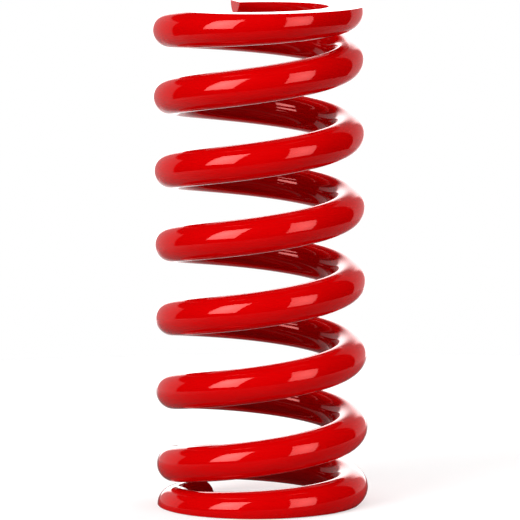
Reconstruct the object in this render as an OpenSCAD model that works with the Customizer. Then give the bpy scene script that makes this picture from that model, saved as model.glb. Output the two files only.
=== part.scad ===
// Compression spring of a coil-over shock absorber: one length of round wire,
// wound right-handed, closed at both ends and ground flat there.
// The spring stands on its lower ground face, with its axis on Z.

/* [Wire] */
// Diameter of the wire with its coat of paint
wire_d = 14.4; // [10:0.1:16]
/* [Coil] */
// Diameter inside the coils
inner_d = 56; // [44:1:80]
// Free length between the two ground faces
free_length = 200; // [160:1:260]
// Turns of wire from the lower tip to the upper tip
turns = 7.92; // [6.5:0.01:9]
// Place of the lower tip round the axis, counterclockwise from +X
tip_angle = 134; // [0:1:359]
/* [Closed ends] */
// Angle from each tip over which the wire stays closed
closed_angle = 230; // [180:5:300]
// Angle over which a closed end opens to the pitch of the active coils
ramp_angle = 220; // [90:5:260]
// Clear height between a tip and the coil next to it
tip_gap = 0.5; // [0.3:0.1:2]
// Thickness that grinding leaves at each tip
tip_thickness = 5.4; // [3:0.1:7]
/* [Fineness] */
// Sides of the wire's section
wire_sides = 16; // [12:4:20]
// Largest angle from one ring of the sweep to the next
ring_angle = 9; // [8:1:15]

/* [Hidden] */

wire_r = wire_d / 2;
coil_r = inner_d / 2 + wire_r;
wound_angle = 360 * turns;

// Height of the wire's centre at the lower tip above the lower face, and of
// the upper tip's below the upper face
tip_z = tip_thickness - wire_r;

// Turns that count at the active pitch, in the first turn and in the whole wire
first_opened = opened(360) / 360;
whole_opened = 2 * opened(wound_angle / 2) / 360;

// The first turn rises by the wire and the gap at its tip, and the whole wire
// by what its ends leave of the free length: both pitches follow from this
first_rise = wire_d + tip_gap;
whole_rise = free_length - 2 * tip_z;
spread = whole_opened - first_opened * turns;
closed_pitch = (first_rise * whole_opened - whole_rise * first_opened) / spread;
active_pitch = (whole_rise * (1 - first_opened) - first_rise * (turns - whole_opened)) / spread;

ring_count = ceil(wound_angle / ring_angle);

// Angle, of the first a degrees from a tip, that counts at the active pitch
function opened(a) =
    a <= closed_angle ? 0
    : a <= closed_angle + ramp_angle ? pow(a - closed_angle, 2) / (2 * ramp_angle)
    : a - closed_angle - ramp_angle / 2;

// Rise of the wire over the first a degrees from a tip
function rise(a) = (closed_pitch * (a - opened(a)) + active_pitch * opened(a)) / 360;

// Height of the wire's centre at a degrees from the lower tip
function height(a) =
    a <= wound_angle / 2 ? tip_z + rise(a)
    : free_length - tip_z - rise(wound_angle - a);

// Pitch of the wire at a degrees from the lower tip
function pitch(a) =
    let (from_tip = min(a, wound_angle - a))
    let (open = min(max((from_tip - closed_angle) / ramp_angle, 0), 1))
    closed_pitch + (active_pitch - closed_pitch) * open;

// Point of the wire's skin at a degrees from the lower tip and s degrees
// round the section, which stands square to the wire
function skin_point(a, s) =
    let (t = tip_angle + a)
    let (lead = atan(pitch(a) / (2 * PI * coil_r)))
    let (out = coil_r + wire_r * cos(s))
    let (up = wire_r * sin(s))
    [
        out * cos(t) + up * sin(lead) * sin(t),
        out * sin(t) - up * sin(lead) * cos(t),
        height(a) + up * cos(lead)
    ];

// The wire as wound, before its ends are ground
module wound_wire() {
    points = [
        for (i = [0 : ring_count], j = [0 : wire_sides - 1])
            skin_point(wound_angle * i / ring_count, 360 * j / wire_sides)
    ];
    last_ring = ring_count * wire_sides;
    first_cap = [for (j = [wire_sides - 1 : -1 : 0]) j];
    last_cap = [for (j = [0 : wire_sides - 1]) last_ring + j];
    skin = [
        for (i = [0 : ring_count - 1], j = [0 : wire_sides - 1])
            let (here = i * wire_sides + j)
            let (beside = i * wire_sides + (j + 1) % wire_sides)
            each [
                [here, beside, here + wire_sides],
                [beside, beside + wire_sides, here + wire_sides]
            ]
    ];
    polyhedron(points, concat([first_cap], skin, [last_cap]), convexity = 20);
}

// The wound wire with both ends ground flat and square to the axis
module spring() {
    block = 2 * (coil_r + wire_d);
    color([0.80, 0.02, 0.02])
        intersection() {
            wound_wire();
            translate([-block / 2, -block / 2, 0])
                cube([block, block, free_length]);
        }
}

spring();
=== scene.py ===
"""Compression spring of a coil-over shock absorber, in glossy red paint on a white stage.

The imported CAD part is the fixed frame. The wire is wound again here at a finer step, round
instead of faceted, with its ends ground flat and their edges broken, and it stands for the
CAD node in the picture.
"""

import math

import bmesh
import bpy
from bpy.props import FloatProperty, FloatVectorProperty, IntProperty, PointerProperty
from mathutils import Matrix, Vector


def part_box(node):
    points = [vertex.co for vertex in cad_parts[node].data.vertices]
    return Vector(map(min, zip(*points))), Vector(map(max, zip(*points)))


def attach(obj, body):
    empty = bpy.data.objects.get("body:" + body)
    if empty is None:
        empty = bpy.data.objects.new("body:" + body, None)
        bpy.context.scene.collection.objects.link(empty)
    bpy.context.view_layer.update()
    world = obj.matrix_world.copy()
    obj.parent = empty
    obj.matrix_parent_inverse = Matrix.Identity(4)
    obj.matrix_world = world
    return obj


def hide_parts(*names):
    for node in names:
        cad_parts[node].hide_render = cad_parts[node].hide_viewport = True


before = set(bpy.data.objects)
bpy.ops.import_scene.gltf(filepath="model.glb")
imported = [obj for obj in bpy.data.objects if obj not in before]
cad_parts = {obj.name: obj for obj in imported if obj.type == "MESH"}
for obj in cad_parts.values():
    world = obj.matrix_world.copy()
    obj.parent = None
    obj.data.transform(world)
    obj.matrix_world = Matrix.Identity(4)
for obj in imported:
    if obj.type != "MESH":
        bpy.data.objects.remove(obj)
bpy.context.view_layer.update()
CAD_LOW, CAD_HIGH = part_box("spring")

bl_info = {
    "name": "Shock Absorber Spring",
    "version": (1, 0, 0),
    "blender": (4, 5, 0),
    "location": "View3D > Sidebar > Spring",
    "description": "Winds, grinds and paints a compression spring and sets its stage",
    "category": "Object",
}

TURN = 2 * math.pi
UP = Vector((0, 0, 1))

# Heights closer than the first count as level, and vertices closer than the second as one
LEVEL = 1e-6
DOUBLED = 1e-5


# Sizes and colours that a user would change


class SpringSizes(bpy.types.PropertyGroup):
    """Sizes of the wire, of the coil and of its closed ends"""

    wire_diameter: FloatProperty(
        name="Wire Diameter",
        description="Diameter of the wire with its coat of paint",
        default=0.0144,
        unit="LENGTH",
    )
    inner_diameter: FloatProperty(
        name="Inner Diameter",
        description="Diameter inside the coils",
        default=0.056,
        unit="LENGTH",
    )
    free_length: FloatProperty(
        name="Free Length",
        description="Length between the two ground faces, from the CAD part",
        default=CAD_HIGH.z - CAD_LOW.z,
        unit="LENGTH",
    )
    turns: FloatProperty(
        name="Turns",
        description="Turns of wire from the lower tip to the upper tip",
        default=7.92,
    )
    tip_angle: FloatProperty(
        name="Tip Angle",
        description="Place of the lower tip round the axis, counterclockwise from +X",
        default=math.radians(134),
        subtype="ANGLE",
    )
    closed_angle: FloatProperty(
        name="Closed Angle",
        description="Angle from each tip over which the wire stays closed",
        default=math.radians(230),
        subtype="ANGLE",
    )
    ramp_angle: FloatProperty(
        name="Ramp Angle",
        description="Angle over which a closed end opens to the pitch of the active coils",
        default=math.radians(220),
        subtype="ANGLE",
    )
    tip_gap: FloatProperty(
        name="Tip Gap",
        description="Clear height between a tip and the coil next to it",
        default=0.0005,
        unit="LENGTH",
    )
    tip_thickness: FloatProperty(
        name="Tip Thickness",
        description="Thickness that grinding leaves at each tip",
        default=0.0054,
        unit="LENGTH",
    )
    edge_break: FloatProperty(
        name="Edge Break",
        description="Width of the rounding on the ground edges and the tips",
        default=0.0002,
        unit="LENGTH",
    )
    section_sides: IntProperty(
        name="Section Sides",
        description="Sides of the wire's round section",
        default=64,
    )
    rings_per_turn: IntProperty(
        name="Rings per Turn",
        description="Sections of the wire in one turn of the coil",
        default=72,
    )


class SpringPaint(bpy.types.PropertyGroup):
    """Look of the paint on the wire"""

    red: FloatVectorProperty(
        name="Red",
        description="Colour of the paint",
        default=(0.65, 0.0003, 0.0008),
        subtype="COLOR",
    )
    deep_red: FloatVectorProperty(
        name="Deep Red",
        description="Colour of the paint where its coat is thicker",
        default=(0.59, 0.0001, 0.0005),
        subtype="COLOR",
    )
    # Painted shade: a darker red that stands for the shade inside the coils
    inner_shade_red: FloatVectorProperty(
        name="Thin Red",
        description="Colour of the paint inside the coils, where the spray hardly reaches",
        default=(0.27, 0.0001, 0.0004),
        subtype="COLOR",
    )
    gloss_tint: FloatVectorProperty(
        name="Gloss Tint",
        description="Tint of what the paint mirrors straight on",
        default=(1.0, 0.29, 0.27),
        subtype="COLOR",
    )
    roughness: FloatProperty(
        name="Roughness",
        description="Roughness of the paint, which its haze lowers and raises",
        default=0.05,
        subtype="FACTOR",
    )
    peel_size: FloatProperty(
        name="Peel Size",
        description="Distance between the soft waves left in the paint's skin",
        default=0.0035,
        unit="LENGTH",
    )
    peel_height: FloatProperty(
        name="Peel Height",
        description="Height of the soft waves left in the paint's skin",
        default=0.000007,
        unit="LENGTH",
    )
    grinding_pitch: FloatProperty(
        name="Grinding Pitch",
        description="Distance between the grinding lines that show through on the flat ends",
        default=0.0008,
        unit="LENGTH",
    )
    grinding_depth: FloatProperty(
        name="Grinding Depth",
        description="Depth of the grinding lines under the paint",
        default=0.000004,
        unit="LENGTH",
    )


class SpringStudio(bpy.types.PropertyGroup):
    """Camera, lamps, room and floor"""

    camera_place: FloatVectorProperty(
        name="Camera Place",
        description="Place of the camera",
        default=(-0.0002, -2.2195, 0.3577),
        subtype="TRANSLATION",
        unit="LENGTH",
    )
    camera_pitch: FloatProperty(
        name="Camera Pitch",
        description="Angle by which the camera looks down",
        default=math.radians(6.665),
        subtype="ANGLE",
    )
    camera_roll: FloatProperty(
        name="Camera Roll",
        description="Angle by which the camera leans, counterclockwise",
        default=math.radians(-0.53),
        subtype="ANGLE",
    )
    focal_length: FloatProperty(
        name="Focal Length",
        description="Focal length on a sensor 36 mm wide, in millimetres",
        default=386.0,
    )
    lamp_distance: FloatProperty(
        name="Lamp Distance",
        description="Distance of the lamps from the middle of the spring",
        default=1.6,
        unit="LENGTH",
    )
    left_radiance: FloatProperty(
        name="Left Radiance",
        description="Brightness of the left softbox, where 1 is white",
        default=6.0,
    )
    right_radiance: FloatProperty(
        name="Right Radiance",
        description="Brightness of the right softbox, where 1 is white",
        default=3.2,
    )
    back_radiance: FloatProperty(
        name="Back Radiance",
        description="Brightness of the lit backdrop in reflections, where 1 is white",
        default=3.1,
    )
    left_rim: FloatProperty(
        name="Left Rim",
        description="Brightness of the light from the left wall, where 1 is white",
        default=2.6,
    )
    right_rim: FloatProperty(
        name="Right Rim",
        description="Brightness of the light from the right wall, where 1 is white",
        default=5.2,
    )
    front_fill: FloatProperty(
        name="Front Fill",
        description="Brightness of the fill light in front, where 1 is white",
        default=1.5,
    )
    overhead: FloatProperty(
        name="Overhead",
        description="Brightness of the light from above, where 1 is white",
        default=1.2,
    )
    left_grey: FloatProperty(
        name="Left Grey",
        description="Brightness of the left wall of the room",
        default=0.43,
    )
    right_grey: FloatProperty(
        name="Right Grey",
        description="Brightness of the right wall of the room",
        default=0.6,
    )
    front_grey: FloatProperty(
        name="Front Grey",
        description="Brightness of the dark front and roof of the room",
        default=0.01,
    )
    floor_radius: FloatProperty(
        name="Floor Radius",
        description="Radius of the round floor",
        default=0.45,
        unit="LENGTH",
    )


# The wire's path, worked out as in the CAD part


class WirePath:
    """Centre line of the wire by the angle from its lower tip, closed at both ends."""

    def __init__(self, sizes):
        self.wire_radius = sizes.wire_diameter / 2
        self.coil_radius = sizes.inner_diameter / 2 + self.wire_radius
        self.length = sizes.free_length
        self.tip_angle = sizes.tip_angle
        self.closed_angle = sizes.closed_angle
        self.ramp_angle = sizes.ramp_angle
        self.wound_angle = TURN * sizes.turns
        self.tip_height = sizes.tip_thickness - self.wire_radius

        # The first turn rises by the wire and the gap at its tip, and the whole wire by what its
        # ends leave of the free length: both pitches follow from this
        first_opened = self.opened(TURN) / TURN
        whole_opened = 2 * self.opened(self.wound_angle / 2) / TURN
        first_rise = sizes.wire_diameter + sizes.tip_gap
        whole_rise = self.length - 2 * self.tip_height
        spread = whole_opened - first_opened * sizes.turns
        closed_turns = sizes.turns - whole_opened
        self.closed_pitch = (first_rise * whole_opened - whole_rise * first_opened) / spread
        self.active_pitch = (whole_rise * (1 - first_opened) - first_rise * closed_turns) / spread

    def opened(self, angle):
        """Angle, of that much from a tip, that counts at the active pitch."""
        beyond = angle - self.closed_angle
        if beyond <= 0:
            return 0.0
        if beyond <= self.ramp_angle:
            return beyond**2 / (2 * self.ramp_angle)
        return beyond - self.ramp_angle / 2

    def rise(self, angle):
        """Height gained over that angle from a tip."""
        opened = self.opened(angle)
        return (self.closed_pitch * (angle - opened) + self.active_pitch * opened) / TURN

    def height(self, angle):
        """Height of the centre line."""
        if angle <= self.wound_angle / 2:
            return self.tip_height + self.rise(angle)
        return self.length - self.tip_height - self.rise(self.wound_angle - angle)

    def lead(self, angle):
        """Angle by which the wire climbs."""
        from_tip = min(angle, self.wound_angle - angle)
        share = min(max((from_tip - self.closed_angle) / self.ramp_angle, 0), 1)
        pitch = self.closed_pitch + (self.active_pitch - self.closed_pitch) * share
        return math.atan(pitch / (TURN * self.coil_radius))

    def section(self, angle):
        """Centre of the wire's section, and its axes: out from the coil, up and along the wire."""
        place = self.tip_angle + angle
        lead = self.lead(angle)
        out = Vector((math.cos(place), math.sin(place), 0))
        level = UP.cross(out)
        along = level * math.cos(lead) + UP * math.sin(lead)
        centre = out * self.coil_radius + UP * self.height(angle)
        return centre, out, out.cross(along), along


# Small helpers for modelling in edit mode


def deselect_all():
    if bpy.context.object and bpy.context.object.mode != "OBJECT":
        bpy.ops.object.mode_set(mode="OBJECT")
    bpy.ops.object.select_all(action="DESELECT")


def select(piece, kind, wanted):
    """Selects the vertices, edges or faces of the piece in edit mode for which wanted is true."""
    bpy.ops.mesh.select_mode(type=kind)
    bpy.ops.mesh.select_all(action="DESELECT")
    mesh = bmesh.from_edit_mesh(piece.data)
    mesh.normal_update()
    for part in {"VERT": mesh.verts, "EDGE": mesh.edges, "FACE": mesh.faces}[kind]:
        if wanted(part):
            part.select_set(True)
    mesh.select_flush_mode()
    bmesh.update_edit_mesh(piece.data)


def lies_at(part, height):
    """Whether an edge or a face lies level at a height."""
    return all(abs(vertex.co.z - height) < LEVEL for vertex in part.verts)


# The wire

# Share of a section's side within which a vertex is drawn to the cut
SLIVER_SHARE = 0.3
# Angle at an edge from which it is broken, the steps of the rounding, and the angle from which
# an edge stays sharp in the shading
BROKEN_ANGLE = math.radians(28)
BREAK_STEPS = 3
SHARP_ANGLE = math.radians(32)


def wind(path, sizes):
    """Winds the round wire from its lower tip, a ring at a time, and returns it."""
    deselect_all()
    centre, out, rise, along = path.section(0)
    bpy.ops.mesh.primitive_circle_add(
        vertices=sizes.section_sides,
        radius=path.wire_radius,
        fill_type="NGON",
        location=centre,
        rotation=Matrix((out, rise, out.cross(rise))).transposed().to_euler(),
    )
    wire = bpy.context.object
    wire.name = "wire"
    bpy.ops.object.transform_apply()
    bpy.ops.object.mode_set(mode="EDIT")
    bpy.ops.mesh.select_all(action="SELECT")
    rings = math.ceil(sizes.turns * sizes.rings_per_turn)
    step = path.wound_angle / rings
    for ring in range(rings):
        here = ring * step
        there = here + step
        climb = path.height(there) - path.height(here)
        bpy.ops.mesh.extrude_region_move(TRANSFORM_OT_translate={"value": (0, 0, climb)})
        bpy.ops.transform.rotate(value=-step, orient_axis="Z", center_override=(0, 0, 0))
        tilt = path.lead(there) - path.lead(here)
        if tilt:
            centre, out, rise, along = path.section(there)
            bpy.ops.transform.rotate(
                value=tilt,
                orient_axis="X",
                orient_type="GLOBAL",
                orient_matrix=Matrix((out, along, rise)).transposed(),
                orient_matrix_type="GLOBAL",
                constraint_axis=(True, False, False),
                center_override=centre,
            )
    return wire


def grind(wire, face_height, sliver, keeps_above):
    """Cuts the wire flat at a height and closes the cut with one face."""
    # Vertices near the cut are drawn to it, so that no sliver is left
    select(wire, "VERT", lambda vertex: abs(vertex.co.z - face_height) < sliver)
    bpy.ops.transform.resize(value=(1, 1, 0), center_override=(0, 0, face_height))
    bpy.ops.mesh.select_all(action="SELECT")
    bpy.ops.mesh.bisect(
        plane_co=(0, 0, face_height),
        plane_no=(0, 0, 1),
        clear_inner=keeps_above,
        clear_outer=not keeps_above,
        threshold=LEVEL,
    )
    select(wire, "FACE", lambda face: lies_at(face, face_height))
    bpy.ops.mesh.delete(type="FACE")
    select(wire, "EDGE", lambda edge: edge.is_boundary and lies_at(edge, face_height))
    bpy.ops.mesh.edge_face_add()


def break_edges(wire, sizes):
    """Rounds the edges of the ground faces and of the tips."""
    bpy.ops.mesh.select_all(action="SELECT")
    bpy.ops.mesh.remove_doubles(threshold=DOUBLED)
    bpy.ops.mesh.normals_make_consistent(inside=False)
    flats = (0.0, sizes.free_length)

    def breaks(edge):
        ground = any(lies_at(face, height) for face in edge.link_faces for height in flats)
        return ground or edge.calc_face_angle() > BROKEN_ANGLE

    select(wire, "EDGE", breaks)
    bpy.ops.mesh.bevel(
        offset=sizes.edge_break, segments=BREAK_STEPS, affect="EDGES", clamp_overlap=False
    )
    bpy.ops.mesh.select_all(action="SELECT")
    bpy.ops.mesh.normals_make_consistent(inside=False)


def smooth(wire):
    """Shades the wire round and keeps its ground faces flat."""
    bpy.ops.object.mode_set(mode="OBJECT")
    bpy.ops.object.shade_smooth_by_angle(angle=SHARP_ANGLE)
    weigh = wire.modifiers.new("flat ground faces", "WEIGHTED_NORMAL")
    weigh.keep_sharp = True
    bpy.ops.object.modifier_apply(modifier=weigh.name)


# The paint

# Fineness of the patches in the coat and in its haze, as noise scales
COAT_SCALE = 38.0
HAZE_SCALE = 90.0
# Least and most roughness, as shares of the paint's own
HAZE_RANGE = (0.7, 1.5)
# Where the painted shade inside the coils, a darker red for the shade there, starts and where it is
# full, outward from the bore in wire diameters, and how far its edge wanders in metres
INNER_SHADE_START = 0.4
INNER_SHADE_FULL = 0.15
INNER_SHADE_WANDER = 0.002
# Share of the painted shade left at the upper end, where more light falls inside, and the height in
# wire diameters over which it fades
INNER_SHADE_AT_TOP = 0.2
INNER_SHADE_FADE = 1.5
# Refractive index of the paint, above a real one's so that the gloss is as strong as pictured
REFRACTION = 1.85
# Height at each end that counts as the ground face, in metres
FLAT_DEPTH = 0.00005
# Distance between the bands of a diagonal wave of scale 1, on a level face
WAVE_PITCH = TURN / (10 * math.sqrt(2))


class Nodes:
    """A node tree that is written as a list of nodes, each wired as it is added."""

    def __init__(self, tree):
        self.tree = tree
        self.tree.nodes.clear()

    def add(self, kind, settings=None, **inputs):
        """Adds a node, sets its settings, and sets or links its inputs by name."""
        node = self.tree.nodes.new(kind)
        for name, value in (settings or {}).items():
            setattr(node, name, value)
        for name, value in inputs.items():
            self.put(node, name, value)
        return node

    def put(self, node, name, value):
        """Sets an input to a value, or links it to an output."""
        key = int(name[1:]) if name[1:].isdigit() else name.replace("_", " ")
        socket = node.inputs[key]
        if isinstance(value, bpy.types.NodeSocket):
            self.tree.links.new(value, socket)
        else:
            socket.default_value = value

    def math(self, operation, first, second=0.0):
        """One sum, as an output."""
        return self.add("ShaderNodeMath", {"operation": operation}, _0=first, _1=second).outputs[0]

    def mix(self, share, first, second):
        """A mix of two colours, as an output."""
        node = self.add("ShaderNodeMix", {"data_type": "RGBA"}, _0=share, _6=first, _7=second)
        return node.outputs[2]

    def blend(self, share, first, second):
        """A mix of two numbers, as an output."""
        node = self.add("ShaderNodeMix", {"data_type": "FLOAT"}, _0=share, _2=first, _3=second)
        return node.outputs[0]

    def band(self, value, start, end):
        """A soft step from 0 at the start to 1 at the end, as an output."""
        node = self.add(
            "ShaderNodeMapRange",
            {"interpolation_type": "SMOOTHSTEP"},
            Value=value,
            From_Min=start,
            From_Max=end,
        )
        return node.outputs[0]

    def noise(self, place, scale, detail):
        """Soft noise from 0 to 1, as an output."""
        node = self.add("ShaderNodeTexNoise", Vector=place, Scale=scale, Detail=detail)
        return node.outputs["Fac"]


def rgba(colour):
    return (*colour, 1.0)


def grey(level):
    return (level, level, level, 1.0)


def red_paint(paint, sizes):
    """Glossy red paint with an uneven coat, a soft skin, faint grinding lines on the flats and
    painted shade inside the coils.
    """
    material = bpy.data.materials.new("red_paint")
    material.use_nodes = True
    nodes = Nodes(material.node_tree)
    place = nodes.add("ShaderNodeTexCoord").outputs["Object"]
    height = nodes.add("ShaderNodeSeparateXYZ", Vector=place).outputs["Z"]

    # Depth of the coat, in broad soft patches
    coat = nodes.noise(place, COAT_SCALE, detail=3.0)
    colour = nodes.mix(coat, rgba(paint.red), rgba(paint.deep_red))

    # Painted shade: a darker red inside the coils, where shade falls, with less of it at the upper
    # end
    level_place = nodes.add(
        "ShaderNodeVectorMath", {"operation": "MULTIPLY"}, _0=place, _1=(1.0, 1.0, 0.0)
    ).outputs[0]
    from_axis = nodes.add(
        "ShaderNodeVectorMath", {"operation": "LENGTH"}, _0=level_place
    ).outputs["Value"]
    inner_radius = sizes.inner_diameter / 2
    inside = nodes.band(
        nodes.math("ADD", from_axis, nodes.math("MULTIPLY", coat, INNER_SHADE_WANDER)),
        inner_radius + sizes.wire_diameter * INNER_SHADE_START,
        inner_radius + sizes.wire_diameter * INNER_SHADE_FULL,
    )
    shade_left = nodes.add(
        "ShaderNodeMapRange",
        Value=height,
        From_Min=sizes.free_length - sizes.wire_diameter * INNER_SHADE_FADE,
        From_Max=sizes.free_length,
        To_Min=1.0,
        To_Max=INNER_SHADE_AT_TOP,
    ).outputs[0]
    # The darker red mixed in here is painted shade inside the coils
    colour = nodes.mix(nodes.math("MULTIPLY", inside, shade_left), colour, rgba(paint.inner_shade_red))

    # Haze, which makes the gloss uneven
    least, most = HAZE_RANGE
    roughness = nodes.add(
        "ShaderNodeMapRange",
        Value=nodes.noise(place, HAZE_SCALE, detail=4.0),
        To_Min=paint.roughness * least,
        To_Max=paint.roughness * most,
    ).outputs[0]

    # Soft waves of the sprayed skin
    peel = nodes.noise(place, 1 / paint.peel_size, detail=1.0)
    skin = nodes.add(
        "ShaderNodeBump", Strength=1.0, Distance=paint.peel_height, Height=peel
    ).outputs[0]

    # Grinding lines, only on the two flat ends
    middle = sizes.free_length / 2
    from_middle = nodes.math("ABSOLUTE", nodes.math("SUBTRACT", height, middle))
    on_flat = nodes.math("GREATER_THAN", from_middle, middle - FLAT_DEPTH)
    lines = nodes.add(
        "ShaderNodeTexWave",
        {"wave_type": "BANDS", "bands_direction": "DIAGONAL"},
        Vector=place,
        Scale=WAVE_PITCH / paint.grinding_pitch,
        Distortion=1.5,
        Detail=2.0,
        Detail_Scale=0.4,
    ).outputs["Fac"]
    cut = nodes.math("MULTIPLY", lines, on_flat)
    skin = nodes.add(
        "ShaderNodeBump", Strength=1.0, Distance=paint.grinding_depth, Height=cut, Normal=skin
    ).outputs[0]

    shader = nodes.add(
        "ShaderNodeBsdfPrincipled",
        Base_Color=colour,
        Roughness=roughness,
        IOR=REFRACTION,
        Specular_Tint=rgba(paint.gloss_tint),
        Normal=skin,
    )
    nodes.add("ShaderNodeOutputMaterial", Surface=shader.outputs[0])
    return material


class SPRING_OT_wire(bpy.types.Operator):
    """Winds the wire, grinds its ends, breaks their edges and paints it"""

    bl_idname = "spring.wire"
    bl_label = "Wire"
    bl_options = {"REGISTER", "UNDO"}

    def execute(self, context):
        sizes = context.scene.spring_sizes
        path = WirePath(sizes)
        wire = wind(path, sizes)
        sliver = SLIVER_SHARE * TURN * path.wire_radius / sizes.section_sides
        grind(wire, 0.0, sliver, keeps_above=True)
        grind(wire, sizes.free_length, sliver, keeps_above=False)
        break_edges(wire, sizes)
        smooth(wire)
        wire.data.materials.append(red_paint(context.scene.spring_paint, sizes))
        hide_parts("spring")
        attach(wire, "root")
        return {"FINISHED"}


# The stage

# Width of the camera's sensor in millimetres, and how far it sees in metres
SENSOR_WIDTH = 36.0
SIGHT = 20.0

# Brightness of a lamp in its middle and at its edge, and the share of its size between them
LAMP_MIDDLE = 1.25
LAMP_EDGE = 0.75
LAMP_REACH = 0.6
# Each lamp's azimuth and elevation in degrees, its own turn in degrees, its width and height in
# metres, the setting of its brightness, and whether reflections show it
LAMPS = {
    "left softbox": ((-45.2, 31.9), (25, 24, 7), (0.95, 1.44), "left_radiance", True),
    "right softbox": ((47.8, 21.2), (-26, 6, -13), (0.92, 1.47), "right_radiance", True),
    "left rim": ((-140, 12), (0, 0, 0), (1.2, 1.4), "left_rim", False),
    "right rim": ((140, 12), (0, 0, 0), (1.2, 1.4), "right_rim", False),
    "front fill": ((-25, 35), (0, 0, 0), (1.2, 1.4), "front_fill", False),
    "overhead": ((60, 85), (0, 0, 0), (1.2, 1.4), "overhead", False),
}

# Parts of the room, by the X, Y and Z of a direction of length 1. Each pair says where a part
# starts and where it is full, and the first one where the left wall passes into the right one.
LEFT_TO_RIGHT = (-0.2, 0.2)
WALL_FRONT = (0.40, 0.44)
WALL_LEAN = 0.12
LEFT_WALL_TOP = (0.48, 0.43)
# Where the right wall has faded, and the share of it that remains there
RIGHT_WALL_TOP = 0.85
RIGHT_WALL_REST = 0.2
BACKDROP_PLACE = 0.055
BACKDROP_SIDES = (0.375, 0.25)
BACKDROP_FRONT = (0.3, 0.5)
BACKDROP_FOOT = (-0.4, 0.0)
BACKDROP_TOP = (0.52, 0.3)

# Shape of the floor in metres, and how far it lies under the spring
FLOOR_SIDES = 128
FLOOR_DEPTH = 0.01
FLOOR_GAP = 0.0002
# Greys of the floor's grain and its fineness, and the light that makes it white to the camera
FLOOR_GREYS = (0.50, 0.54)
FLOOR_GRAIN = 60.0
FLOOR_LIFT = 0.5
# Greys of the floor in reflections, painted shade near the spring and plain far from it, where
# those start and end in metres, and the weight of the distance behind the spring against that
# beside it
MIRRORED_GREYS = (0.10, 0.33)
MIRRORED_REACH = (0.03, 0.4)
BEHIND_WEIGHT = 0.6
# Light on the floor behind the spring in reflections, and where it starts and is full in metres
MIRRORED_LIGHT = 0.6
MIRRORED_BEHIND = (0.08, 0.28)


def set_camera(studio):
    """Puts the camera where it sees the spring as the picture does."""
    lens = bpy.data.cameras.new("camera")
    lens.lens = studio.focal_length
    lens.sensor_width = SENSOR_WIDTH
    lens.clip_end = SIGHT
    camera = bpy.data.objects.new("camera", lens)
    bpy.context.scene.collection.objects.link(camera)
    look = Matrix.Rotation(math.pi / 2 - studio.camera_pitch, 4, "X")
    lean = Matrix.Rotation(studio.camera_roll, 4, "Z")
    camera.matrix_world = Matrix.Translation(studio.camera_place) @ look @ lean
    bpy.context.scene.camera = camera


def softbox(name, middle, aim, own_turn, size, radiance):
    """A rectangular lamp, brightest in its middle.

    The lamp's middle stands at an azimuth, 0 towards the camera and + to the right, an elevation
    and a distance from the middle of the spring. Its own turn is about its upright, its level and
    its facing axis, and all zero if it faces the spring.
    """
    azimuth, elevation, distance = aim
    yaw, tip, roll = own_turn
    width, height = size
    lamp = bpy.data.lights.new(name, "AREA")
    lamp.shape = "RECTANGLE"
    lamp.size = width
    lamp.size_y = height
    lamp.energy = math.pi * width * height * radiance
    lamp.use_nodes = True
    nodes = Nodes(lamp.node_tree)
    place = nodes.add("ShaderNodeNewGeometry").outputs["Parametric"]
    from_middle = nodes.add(
        "ShaderNodeVectorMath", {"operation": "DISTANCE"}, _0=place, _1=(0.5, 0.5, 0.0)
    ).outputs["Value"]
    level = nodes.add(
        "ShaderNodeMapRange",
        Value=from_middle,
        From_Max=LAMP_REACH,
        To_Min=LAMP_MIDDLE,
        To_Max=LAMP_EDGE,
    ).outputs[0]
    glow = nodes.add("ShaderNodeEmission", Strength=level)
    nodes.add("ShaderNodeOutputLight", Surface=glow.outputs[0])
    holder = bpy.data.objects.new(name, lamp)
    bpy.context.scene.collection.objects.link(holder)
    stand = Matrix.Rotation(math.radians(azimuth), 4, "Z")
    stand = stand @ Matrix.Rotation(math.pi / 2 - math.radians(elevation), 4, "X")
    stand = stand @ Matrix.Translation((0, 0, distance))
    own = Matrix.Rotation(math.radians(yaw), 4, "Y") @ Matrix.Rotation(math.radians(tip), 4, "X")
    own = own @ Matrix.Rotation(math.radians(roll), 4, "Z")
    holder.matrix_world = Matrix.Translation(middle) @ stand @ own
    holder.visible_camera = False
    return holder


def set_lamps(studio, middle):
    """Two softboxes in front, and four lamps round and above that no reflection shows."""
    for name, (bearing, own_turn, size, brightness, mirrored) in LAMPS.items():
        aim = (*bearing, studio.lamp_distance)
        lamp = softbox(name, middle, aim, own_turn, size, getattr(studio, brightness))
        lamp.visible_glossy = mirrored


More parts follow.
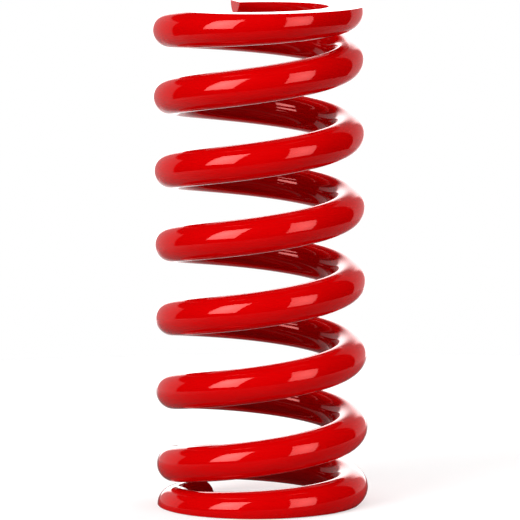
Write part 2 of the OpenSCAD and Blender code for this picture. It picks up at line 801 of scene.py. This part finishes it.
def set_room(studio):
    """White all round for the camera, and else bright behind, grey beside and dark in front."""
    world = bpy.data.worlds.new("room")
    bpy.context.scene.world = world
    world.use_nodes = True
    nodes = Nodes(world.node_tree)
    ray = nodes.add("ShaderNodeLightPath").outputs
    way = nodes.add("ShaderNodeTexCoord").outputs["Generated"]
    axes = nodes.add("ShaderNodeSeparateXYZ", Vector=way).outputs
    across, deep, high = (axes[name] for name in "XYZ")

    # The left wall ends at a set height, and the right one fades upwards
    fading = nodes.add(
        "ShaderNodeMapRange",
        Value=high,
        From_Max=RIGHT_WALL_TOP,
        To_Min=1.0,
        To_Max=RIGHT_WALL_REST,
    ).outputs[0]
    left = nodes.math("MULTIPLY", nodes.band(high, *LEFT_WALL_TOP), studio.left_grey)
    right = nodes.math("MULTIPLY", fading, studio.right_grey)
    walls = nodes.blend(nodes.band(across, *LEFT_TO_RIGHT), left, right)
    leaning = nodes.math("SUBTRACT", deep, nodes.math("MULTIPLY", across, WALL_LEAN))
    wall = nodes.math("MULTIPLY", nodes.band(leaning, *WALL_FRONT), walls)

    # The lit backdrop stands a little to the right, and is brightest at half height
    aside = nodes.math("ABSOLUTE", nodes.math("SUBTRACT", across, BACKDROP_PLACE))
    sides = nodes.band(aside, *BACKDROP_SIDES)
    narrow = nodes.math("MULTIPLY", sides, nodes.band(deep, *BACKDROP_FRONT))
    foot = nodes.band(high, *BACKDROP_FOOT)
    tall = nodes.math("MULTIPLY", foot, nodes.band(high, *BACKDROP_TOP))
    backdrop = nodes.math("MULTIPLY", narrow, tall)
    level = nodes.blend(backdrop, wall, studio.back_radiance)
    room = nodes.math("ADD", level, studio.front_grey)
    shown = nodes.blend(ray["Is Camera Ray"], room, 1.0)
    background = nodes.add("ShaderNodeBackground", Color=grey(1.0), Strength=shown)
    nodes.add("ShaderNodeOutputWorld", Surface=background.outputs[0])


def pale_floor():
    """Pale grey floor that the camera sees as white, with the spring's shadow kept.

    In reflections it has painted shade near the spring, and is lit behind it.
    """
    material = bpy.data.materials.new("pale_floor")
    material.use_nodes = True
    nodes = Nodes(material.node_tree)
    place = nodes.add("ShaderNodeTexCoord").outputs["Object"]
    ray = nodes.add("ShaderNodeLightPath").outputs
    grain = nodes.noise(place, FLOOR_GRAIN, detail=2.0)
    colour = nodes.mix(grain, *map(grey, FLOOR_GREYS))
    axes = nodes.add("ShaderNodeSeparateXYZ", Vector=place).outputs
    aside = nodes.math("ABSOLUTE", axes["X"])

    def ramp(value, ends, top):
        start, end = ends
        return nodes.add(
            "ShaderNodeMapRange", Value=value, From_Min=start, From_Max=end, To_Max=top
        ).outputs[0]

    # Painted shade: in reflections the floor is darker near the spring
    reach = nodes.math("ADD", aside, nodes.math("MULTIPLY", axes["Y"], BEHIND_WEIGHT))
    darkened = nodes.mix(ramp(reach, MIRRORED_REACH, 1.0), *map(grey, MIRRORED_GREYS))
    shaded = nodes.mix(ray["Is Glossy Ray"], colour, darkened)
    matt = nodes.add("ShaderNodeBsdfDiffuse", Color=shaded)
    behind = nodes.math("SUBTRACT", axes["Y"], aside)
    lit = ramp(behind, MIRRORED_BEHIND, MIRRORED_LIGHT)
    mirrored = nodes.math("MULTIPLY", ray["Is Glossy Ray"], lit)
    shown = nodes.math("MULTIPLY", ray["Is Camera Ray"], FLOOR_LIFT)
    light = nodes.math("ADD", shown, mirrored)
    lift = nodes.add("ShaderNodeEmission", Color=grey(1.0), Strength=light)
    both = nodes.add("ShaderNodeAddShader", _0=matt.outputs[0], _1=lift.outputs[0])
    nodes.add("ShaderNodeOutputMaterial", Surface=both.outputs[0])
    return material


def lay_floor(studio):
    """A thin round floor just under the spring."""
    deselect_all()
    bpy.ops.mesh.primitive_circle_add(
        vertices=FLOOR_SIDES,
        radius=studio.floor_radius,
        fill_type="NGON",
        location=(0, 0, -FLOOR_GAP),
    )
    floor = bpy.context.object
    floor.name = "floor"
    bpy.ops.object.transform_apply()
    bpy.ops.object.mode_set(mode="EDIT")
    bpy.ops.mesh.select_all(action="SELECT")
    bpy.ops.mesh.extrude_region_move(TRANSFORM_OT_translate={"value": (0, 0, -FLOOR_DEPTH)})
    bpy.ops.mesh.select_all(action="SELECT")
    bpy.ops.mesh.normals_make_consistent(inside=False)
    bpy.ops.object.mode_set(mode="OBJECT")
    floor.data.materials.append(pale_floor())


class SPRING_OT_stage(bpy.types.Operator):
    """Lays the floor and sets the room, the lamps and the camera"""

    bl_idname = "spring.stage"
    bl_label = "Stage"
    bl_options = {"REGISTER", "UNDO"}

    def execute(self, context):
        studio = context.scene.spring_studio
        middle = (0, 0, context.scene.spring_sizes.free_length / 2)
        lay_floor(studio)
        set_room(studio)
        set_lamps(studio, middle)
        set_camera(studio)
        context.scene.view_settings.view_transform = "Standard"
        return {"FINISHED"}


# The panel, and the run from end to end


class SPRING_PT_panel(bpy.types.Panel):
    """Sizes, paint and stage of the spring"""

    bl_idname = "SPRING_PT_panel"
    bl_label = "Shock Absorber Spring"
    bl_space_type = "VIEW_3D"
    bl_region_type = "UI"
    bl_category = "Spring"

    def draw(self, context):
        layout = self.layout
        scene = context.scene
        for operator, group in (
            (SPRING_OT_wire, scene.spring_sizes),
            (None, scene.spring_paint),
            (SPRING_OT_stage, scene.spring_studio),
        ):
            for name in group.__annotations__:
                layout.prop(group, name)
            if operator:
                layout.operator(operator.bl_idname)


CLASSES = (SpringSizes, SpringPaint, SpringStudio, SPRING_OT_wire, SPRING_OT_stage, SPRING_PT_panel)


def register():
    for cls in CLASSES:
        bpy.utils.register_class(cls)
    bpy.types.Scene.spring_sizes = PointerProperty(type=SpringSizes)
    bpy.types.Scene.spring_paint = PointerProperty(type=SpringPaint)
    bpy.types.Scene.spring_studio = PointerProperty(type=SpringStudio)


def unregister():
    del bpy.types.Scene.spring_studio
    del bpy.types.Scene.spring_paint
    del bpy.types.Scene.spring_sizes
    for cls in reversed(CLASSES):
        bpy.utils.unregister_class(cls)


def main():
    register()
    bpy.ops.spring.wire()
    bpy.ops.spring.stage()


if __name__ == "__main__":
    main()
